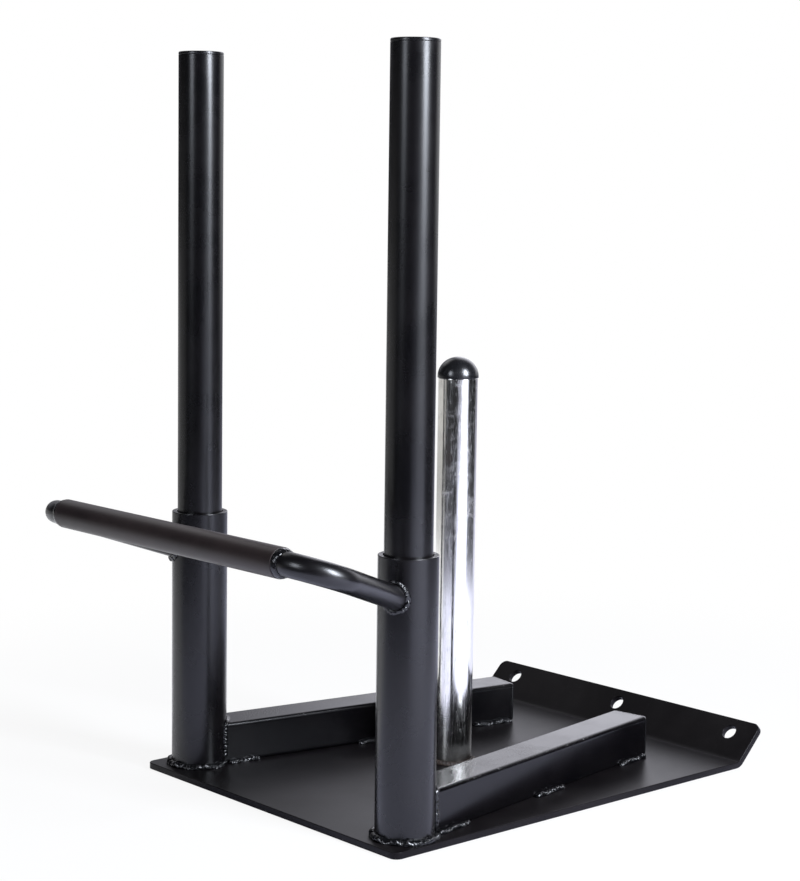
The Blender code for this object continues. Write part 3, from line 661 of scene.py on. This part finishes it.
def rails():
    """A square ring carried along the rail. Its first ring is pushed forward onto the socket's cylinder."""
    for label, side in SIDES:
        base, length, along, outward = rail_frame(side)
        end = length - PLUG_FLANGE - SEAT
        outer = square_ring(RAIL_SIZE, RAIL_CORNER)
        inner = square_ring(RAIL_SIZE - 2 * RAIL_WALL, RAIL_CORNER - RAIL_WALL)

        def skin(ring, distances):
            coped = np.sqrt(SOCKET_FACE**2 - ring[:, 0] ** 2)
            run = np.stack([coped] + [np.full(len(ring), d) for d in distances])
            spot = base + outward * ring[None, :, :1] + UP * ring[None, :, 1:]
            return spot + along * run[..., None]

        stations = [0.045, 0.05, 0.12, 0.20, 0.28, 0.36, end - 0.0007, end - RAIL_END_ROUND]
        shrunk = outer * (1 - RAIL_END_ROUND / (RAIL_SIZE / 2))
        bore = skin(inner, [0.05, end - 0.001, end])
        surface = np.concatenate([skin(outer, stations), skin(shrunk, [end])[1:], bore[::-1]])
        corner_gap = RAIL_SIZE / 2 - np.abs(outer).min(axis=1)
        edge = np.clip(1.0 - corner_gap / RAIL_WEAR_REACH, 0.0, 1.0)
        make_piece(f"{label}_rail_tube", f"{label}_rail", RAIL_PAINT,
                   [(surface, True, True, {"edge": edge})])
        shoulder = end + SEAT
        deep = shoulder - PLUG_DEPTH
        stem = square_ring(RAIL_SIZE - 2 * RAIL_WALL - 2 * SEAT, RAIL_CORNER - RAIL_WALL)
        rings = [(stem * 0.0, deep), (stem, deep), (stem, shoulder), (outer, shoulder)]
        rings += [(outer * share, length - setback) for share, setback in PLUG_FACE]
        surface = np.stack([base + outward * ring[:, :1] + UP * ring[:, 1:] + along * d for ring, d in rings])
        make_piece(f"{label}_rail_end", f"{label}_rail_plug", PLASTIC, [(surface, False, True, {})])


# handle

# where an arm's second and third rings lie, from the socket's axis
SECOND_RING, THIRD_RING = 0.045, 0.055


def handle_frame(side):
    """An arm's start on the socket's axis, its bend's corner, its direction, and the handle plane's axes."""
    slope = np.array([0.0, -math.cos(HANDLE_RISE), math.sin(HANDLE_RISE)])
    across = np.array([side, 0.0, 0.0])
    start = socket_point(side) + UP * ARM_HEIGHT
    along = across * math.sin(ARM_SPLAY) + slope * math.cos(ARM_SPLAY)
    corner = start + along * (HANDLE_REACH / math.cos(HANDLE_RISE) / math.cos(ARM_SPLAY))
    return start, corner, along, across, slope


def grip_centre():
    """Where the arms' corners, at x = 0, put the middle of the grip."""
    return handle_frame(1.0)[1] * (0.0, 1.0, 1.0)


def travel_to_socket(offset, along):
    """How far a point beside the socket's axis slides along an arm until it meets the socket's cylinder.

    There the square of its level distance from the axis equals the square of the cylinder's radius, which is
    a quadratic equation for the way it slides.
    """
    level = along[:2]
    ahead, level_square = offset[:, :2] @ level, level @ level
    room = SOCKET_FACE**2 - (offset[:, :2] ** 2).sum(axis=1)
    return (np.sqrt(ahead**2 + level_square * room) - ahead) / level_square


def handle():
    """The grip is turned round its axis. An arm is a ring carried along a line, an arc and a line.

    Its first ring slides onto the socket's cylinder.
    """
    centre = grip_centre()
    wall = wall_outline(GRIP_BORE, GRIP_RADIUS, -GRIP_HALF, GRIP_HALF)
    outline = softened(wall, [0.0, 0.0007, 0.0007, 0.0])
    edge = near_edges(outline, [wall[1], wall[2]], 0.004)
    surface = turned(outline, centre, (1.0, 0.0, 0.0), 128)
    make_piece("grip_sleeve", "grip_tube", GRIP_PAINT, [(surface, True, True, {"edge": edge})])
    for label, side in SIDES:
        start, corner, along, across, slope = handle_frame(side)
        turn = math.pi / 2 + ARM_SPLAY
        bend_centre = corner - across * ARM_BEND * math.tan(turn / 2) - slope * ARM_BEND
        swing = np.linspace(turn, 0.0, 33)[:, None]
        bend = bend_centre + (across * np.sin(swing) + slope * np.cos(swing)) * ARM_BEND
        heading = slope * np.sin(swing) - across * np.cos(swing)
        run = bend[0] - start
        inner_end = centre + across * (GRIP_HALF - ARM_INSERTION)
        straight = start + run * np.linspace(0.0, 1.0, 8)[:-1, None]
        tail = bend[-1] + (inner_end - bend[-1]) * np.linspace(0.0, 1.0, 6)[1:, None]
        path = np.concatenate([straight, bend, tail])
        headings = [np.broadcast_to(along, straight.shape), heading, np.broadcast_to(-across, tail.shape)]
        square = np.cross(across, slope)
        sideways = np.cross(np.concatenate(headings), square)
        angle = circle(72)

        def skin(radius):
            ring = sideways[:, None, :] * np.cos(angle)[None, :, None] + square * np.sin(angle)[None, :, None]
            surface = path[:, None, :] + ring * radius
            offset = ring[0] * radius
            travel = travel_to_socket(offset, along)
            surface[0] = start + offset + along * travel[:, None]
            surface[1] = start + offset + along * np.maximum(travel, SECOND_RING)[:, None]
            surface[2] = start + offset + run * (THIRD_RING / np.linalg.norm(run))
            return np.delete(surface, [3, 4], axis=0)

        surface = np.concatenate([skin(ARM_RADIUS), skin(ARM_BORE)[::-1]])
        make_piece(f"{label}_arm_tube", f"{label}_handle_arm", ARM_PAINT,
                   [(surface, True, True, {"edge": 0.0})])


# welds

# shares of a leg, of a ripple's pitch or of the crown by which a bead's shape varies
TOE_WANDER, PITCH_WANDER, RIPPLE_BOW, RIPPLE_RISE, LUMPS = 0.16, 0.9, 0.45, 0.25, 0.4


def weld(name, node, roots, toe_a, toe_b, closed, seed, finish=WELD_PAINT, pitch=0.0040, crown=0.25,
         ripple=0.15):
    """A weld bead carried along its root.

    Across the bead the section runs from one toe over the crown to the other and back by the root. The
    crown is a parabola on the line between the toes, raised to a power. A ripple's phase is the distance
    along the root, less a share of the square of the place across, so each ripple bows back at its ends; it
    rises sharply and falls slowly. Toes, crown and pitch wander along the run, lumps swell it here and there,
    and an open bead swells from a point at each end.
    """
    steps = np.linalg.norm(np.diff(roots, axis=0, append=roots[:1]), axis=1)
    distance = np.concatenate([[0.0], np.cumsum(steps)[:-1]])
    total = steps.sum() if closed else distance[-1]
    if closed:
        pitch = total / max(1, round(total / pitch))
        ring = distance / total * TURN
        rng = np.random.default_rng(seed)

        def waves():
            return sum(np.sin(k * ring + rng.uniform(0, TURN)) / k**0.7 for k in range(2, 9)) * 0.30

        uneven, stray = waves(), waves()
    else:
        uneven, stray = wander(distance, seed, 0.035, 0.35), wander(distance, seed + 1, 0.030, 0.35)
    end = np.ones(len(roots))
    if not closed:
        gap = np.minimum(distance, total - distance) / min(0.007, total / 4)
        end = np.sqrt(np.clip(1.0 - np.clip(1.0 - gap, 0.0, 1.0) ** 2, 0.0, 1.0))

    def moved_toe(toe, unevenness):
        size = end * (1 - TOE_WANDER + TOE_WANDER * np.tanh(1.6 * unevenness))
        return roots + (toe - roots) * size[:, None]

    a, b = moved_toe(toe_a, uneven), moved_toe(toe_b, stray)
    across = np.linspace(0.0, 1.0, 13)
    hump = 4.0 * across * (1.0 - across)
    bow = RIPPLE_BOW * (2.0 * across[None, :] - 1.0) ** 2
    phase = distance[:, None] / pitch - bow + PITCH_WANDER * uneven[:, None]
    saw = phase - np.floor(phase)
    rise = np.where(saw < RIPPLE_RISE, saw / RIPPLE_RISE, ((1.0 - saw) / (1.0 - RIPPLE_RISE)) ** 0.6)
    span = np.linalg.norm(b - a, axis=1)[:, None]
    outward = unit((toe_a + toe_b) / 2 - roots)
    lump = 1.0 + LUMPS * np.tanh(1.5 * (stray - uneven))[:, None]
    height = span * hump[None, :] ** 0.8 * (crown * lump + ripple * (rise - 0.5))
    line = a[:, None, :] * (1 - across[None, :, None]) + b[:, None, :] * across[None, :, None]
    top = line + outward[:, None, :] * height[..., None]
    surface = np.concatenate([top, roots[:, None, :]], axis=1)
    crest = np.pad(rise * hump[None, :], ((0, 0), (0, 1)))
    make_piece(name, node, finish, [(surface, closed, True, {"crest": crest})], sharp=80.0)


def ring_weld(name, node, centre, radius, leg, seed, opening=0.0, facing=0.0, **look):
    """A weld round the foot of a tube, open where another piece meets the tube."""
    closed = opening == 0.0
    angle = facing + opening / 2 + np.linspace(0.0, TURN - opening, 640, endpoint=not closed)
    ray = np.stack([np.cos(angle), np.sin(angle), np.zeros_like(angle)], -1)
    root = np.asarray(centre) + ray * (radius + SEAT) + UP * FOOT_Z
    weld(name, node, root, root + ray * leg, root + UP * leg, closed, seed, **look)


def seam_weld(label, side, leg, seed):
    """The bead between a rail and its socket: up one flank, over the top and down the other."""
    base, _, along, outward = rail_frame(side)
    half, corner = RAIL_SIZE / 2 + SEAT, RAIL_CORNER + SEAT
    low = FOOT_LEG + SEAT - half
    flank = half - corner - low
    arc = corner * math.pi / 2
    top = half - corner
    total = 2 * (flank + arc + top)
    s = np.linspace(0.0, total, 420)
    m = np.minimum(s, total - s)
    angle = np.clip((m - flank) / corner, 0.0, math.pi / 2)
    sideways = np.where(m < flank, half, top + corner * np.cos(angle)) - np.maximum(m - flank - arc, 0.0)
    upwards = np.where(m < flank, low + m, top + corner * np.sin(angle))
    sign = np.where(s > total / 2, -1.0, 1.0)

    def on_socket(bearing, radius, height):
        radial = along * np.cos(bearing)[:, None] + outward * np.sin(bearing)[:, None]
        return base + radial * radius + UP * height[:, None]

    bearing = np.arcsin(sign * sideways / SOCKET_FACE)
    root = on_socket(bearing, SOCKET_FACE, upwards)
    turned_on = bearing + sign * np.cos(angle) * leg / SOCKET_FACE
    toe_socket = on_socket(turned_on, SOCKET_FACE + SEAT, upwards + np.sin(angle) * leg)
    weld(f"{label}_seam_bead", f"{label}_rail_seam_weld", root, root + along * leg, toe_socket, False, seed,
         pitch=0.0048)


def stitch_welds(label, side, leg, seed):
    """Three short beads on each flank of a rail, against the socket, half way and at the front end."""
    base, rail_length, along, outward = rail_frame(side)
    base = base - UP * RAIL_SIZE / 2
    first = math.sqrt(SOCKET_RADIUS**2 - (RAIL_SIZE / 2) ** 2) + SEAM_LEG
    last = rail_length - PLUG_FLANGE - STITCH_LENGTH
    spots = (("rear", first), ("middle", (first + leg + last) / 2), ("front", last))
    for number, (spot, begin) in enumerate(spots):
        for flank_name, flank, flank_seed in (("outer", outward, 3), ("inner", -outward, 0)):
            length = REAR_STITCH_LENGTHS[flank_name] if spot == "rear" else STITCH_LENGTH
            s = np.linspace(0.0, length, 260)[:, None]
            root = base + along * (begin + s) + flank * (RAIL_SIZE / 2 + SEAT)
            weld(f"{label}_{flank_name}_{spot}_bead", f"{label}_rail_{flank_name}_{spot}_stitch", root,
                 root + flank * leg, root + UP * leg, False, seed + 7 * number + flank_seed, pitch=0.0050)


def arm_weld(label, side, leg, seed):
    """The bead that follows the saddle curve where an arm meets its socket."""
    start, _, along, across, slope = handle_frame(side)
    level = 1.0 - UP
    square = np.cross(across, slope)
    angle = circle(360)[:, None]
    ray = np.cross(along, square) * np.cos(angle) + square * np.sin(angle)
    offset = ray * (ARM_RADIUS + SEAT)
    root = start + offset + along * travel_to_socket(offset, along)[:, None]
    away = unit((root - start) * level)
    toe = root + unit(ray - away * (ray * away).sum(axis=1, keepdims=True)) * leg
    spoke = unit((toe - start) * level)
    toe = (start + spoke * (SOCKET_FACE + SEAT / 2)) * level + toe * UP
    weld(f"{label}_arm_bead", f"{label}_arm_weld", root, root + along * leg, toe, True, seed, pitch=0.0046)


def grip_weld(label, side, leg, seed):
    """The bead on the grip's end face, round the arm that enters it."""
    out = np.array([side, 0.0, 0.0])
    end = grip_centre() + out * (GRIP_HALF + SEAT)
    angle = circle(360)[:, None]
    ray = np.concatenate([np.zeros_like(angle), np.cos(angle), np.sin(angle)], axis=1)
    root = end + ray * (ARM_RADIUS + SEAT)
    weld(f"{label}_grip_bead", f"{label}_grip_weld", root, end + ray * GRIP_RADIUS, root + out * leg, True,
         seed, pitch=0.0075, crown=0.16, ripple=0.06)


def welds():
    """Every bead, each with a seed of its own for its unevenness."""
    ring_weld("post_foot_bead", "post_foot_weld", (0.0, 0.0, 0.0), POST_RADIUS, POST_FOOT_LEG, 5,
              finish=BURNT_WELD)
    for number, (label, side) in enumerate(SIDES):
        along = rail_frame(side)[2]
        opening = 2 * math.asin((RAIL_SIZE / 2 + SEAT) / SOCKET_FACE)
        facing = math.atan2(along[1], along[0])
        ring_weld(f"{label}_foot_bead", f"{label}_socket_foot_weld", socket_point(side), SOCKET_RADIUS,
                  FOOT_LEG, 11 + number, opening, facing, pitch=0.0052)
        seam_weld(label, side, SEAM_LEG, 21 + number)
        stitch_welds(label, side, STITCH_LEG, 31 + 40 * number)
        arm_weld(label, side, ARM_WELD_LEG, 201 + number)
        grip_weld(label, side, GRIP_WELD_LENGTH, 211 + number)


skid()
sockets_and_poles()
post_and_dome()
rails()
handle()
welds()


# camera, floor and light

CAMERA_AZIMUTH, CAMERA_PITCH, CAMERA_ROLL = np.radians([48.4497, 6.2711, 0.7578]).tolist()
CAMERA_PLACE = (1.8715, -1.7584, 0.7252)
FOCAL_LENGTH, PICTURE_CENTRE, PICTURE_SIZE = 2099.0954, (396.7749, 413.9982), (800.0, 881.0)
FLOOR_HALF, FLOOR_DROP = 14.0, 0.0004
WHITE, COOL = (1.0, 1.0, 1.0), (0.85, 0.90, 1.0)
BACKDROP = (2.3, 2.3, 2.53)


def place_camera():
    """The photograph's viewpoint, lens and framing, worked out in the photograph's pixels."""
    out = math.cos(CAMERA_PITCH)
    back = Vector((math.sin(CAMERA_AZIMUTH) * out, -math.cos(CAMERA_AZIMUTH) * out, math.sin(CAMERA_PITCH)))
    right = Vector((math.cos(CAMERA_AZIMUTH), math.sin(CAMERA_AZIMUTH), 0.0))
    up = back.cross(right)
    rolled_right = right * math.cos(CAMERA_ROLL) + up * math.sin(CAMERA_ROLL)
    rolled_up = up * math.cos(CAMERA_ROLL) - right * math.sin(CAMERA_ROLL)
    width, height = PICTURE_SIZE
    data = bpy.data.cameras.new("camera")
    data.sensor_fit = "HORIZONTAL"
    data.sensor_width = 36.0
    data.lens = FOCAL_LENGTH / width * data.sensor_width
    data.shift_x = (width / 2 - PICTURE_CENTRE[0]) / width
    data.shift_y = (PICTURE_CENTRE[1] - height / 2) / width
    data.clip_end = 60.0
    camera = new_object("camera", data)
    axes = Matrix((rolled_right, rolled_up, back)).transposed().to_4x4()
    camera.matrix_world = Matrix.Translation(CAMERA_PLACE) @ axes
    bpy.context.scene.camera = camera


def softbox(name, bearing, distance, height, size, radiance, aim_height=None, colour=WHITE):
    """An area lamp at a bearing round the object, level or aimed at a height on the object's middle.

    Its power is the asked radiance times pi times its area.
    """
    data = bpy.data.lights.new(name, "AREA")
    data.shape = "RECTANGLE"
    data.size, data.size_y = size
    data.energy = radiance * math.pi * size[0] * size[1]
    data.color = colour
    lamp = new_object(name, data)
    angle = math.radians(bearing)
    spot = Vector((math.sin(angle) * distance, -math.cos(angle) * distance, height))
    lamp.location = spot
    target = Vector((0.0, 0.0, height if aim_height is None else aim_height))
    lamp.rotation_euler = (target - spot).to_track_quat("-Z", "Y").to_euler()


def pale_floor():
    """A plain floor. The camera sees it near white round the object, with the shadow, and white further away.

    Other rays see white paper round the object, a lane of it to the right and a strip behind. On the left it
    goes on further and fades into a pale glow. The rest is dark studio floor.
    """
    mesh = bpy.data.meshes.new("floor")
    signs = ((-1, -1), (1, -1), (1, 1), (-1, 1))
    mesh.from_pydata([(a * FLOOR_HALF, b * FLOOR_HALF, -FLOOR_DROP) for a, b in signs], [], [(0, 1, 2, 3)])
    floor = new_object("floor", mesh)
    plain = {"Roughness": 0.9, "Specular_IOR_Level": 0.0, "Emission_Color": WHITE}
    material, n, shader = new_material("pale_floor", **plain)
    seen = n.add("ShaderNodeLightPath").outputs["Is Camera Ray"]
    spot = n.parts(n.place())
    squares = n.plus(n.times(spot["X"], spot["X"]), n.times(spot["Y"], spot["Y"]))
    distance = n.math("SQRT", squares)

    def towards(bearing):
        """1 straight out from the middle at a bearing, and less to its sides."""
        angle = math.radians(bearing)
        return n.math("DIVIDE", n.level(spot, math.sin(angle), -math.cos(angle)), distance)

    left = n.ramp(towards(-80.0), 0.45, 0.75)
    near = n.times(left, n.ramp(distance, 1.3, 2.3, 1.0, 0.0))
    near = n.larger(n.ramp(distance, 1.05, 1.5, 1.0, 0.0), near)
    lane = n.ramp(towards(84.0), 0.80, 0.93)
    behind = n.ramp(towards(209.0), 0.80, 0.92)
    paper = n.larger(near, n.larger(lane, behind))
    left_glow = n.times(left, n.ramp(distance, 2.2, 4.0, 0.42, 0.62))
    far = n.ramp(distance, 0.55, 1.25)
    sheet = n.mix(left, (0.84, 0.83, 0.95), (0.85, 0.84, 0.82))
    mirrored = n.mix(paper, (0.05, 0.05, 0.05), sheet)
    shown = n.mix(far, (0.072, 0.072, 0.072), (0.0, 0.0, 0.0))
    n.fill(shader, Base_Color=n.mix(seen, mirrored, shown),
           Emission_Strength=n.blend(seen, left_glow, n.blend(far, 0.90, 1.0)))
    mesh.materials.append(material)


def studio():
    """White behind the object for the camera.

    Reflections see a bright backdrop behind the object, a pale wall ahead of it, dark room elsewhere, and
    four soft lamps: a tall one and a low card on the right, one at the rear and a weak one high on the left.
    """
    world = bpy.data.worlds.new("studio")
    bpy.context.scene.world = world
    world.use_nodes = True
    n = Nodes(world.node_tree)
    ray = n.parts(n.add("ShaderNodeTexCoord").outputs["Generated"])
    wall = n.ramp(n.level(ray, -0.15, 0.99), 0.85, 0.985)
    sky = n.mix(wall, (0.030, 0.030, 0.034), (0.95, 0.97, 1.0))
    behind = n.level(ray, -math.sin(CAMERA_AZIMUTH), math.cos(CAMERA_AZIMUTH))
    to_right = n.level(ray, math.cos(CAMERA_AZIMUTH), math.sin(CAMERA_AZIMUTH))
    raised = n.times(n.ramp(behind, 0.45, 0.85), n.ramp(ray["Z"], 0.06, 0.14))
    raised = n.times(raised, n.ramp(to_right, -0.10, 0.10, 0.2, 1.0))
    sky = n.mix(raised, sky, BACKDROP)
    seen = n.add("ShaderNodeLightPath").outputs["Is Camera Ray"]
    n.fill(world.node_tree.nodes["Background"], Color=n.mix(seen, sky, WHITE))
    softbox("key", 94.0, 2.9, 1.95, (1.0, 1.9), 55.0, colour=COOL)
    softbox("fill", 3.0, 3.4, 1.75, (0.9, 1.5), 10.0, colour=COOL)
    softbox("low_card", 91.0, 2.9, 0.42, (2.1, 0.8), 1.2, colour=COOL)
    softbox("top", 262.0, 2.4, 2.3, (1.6, 1.2), 0.9, aim_height=0.3)


place_camera()
pale_floor()
studio()
bpy.context.scene.view_settings.view_transform = "Standard"
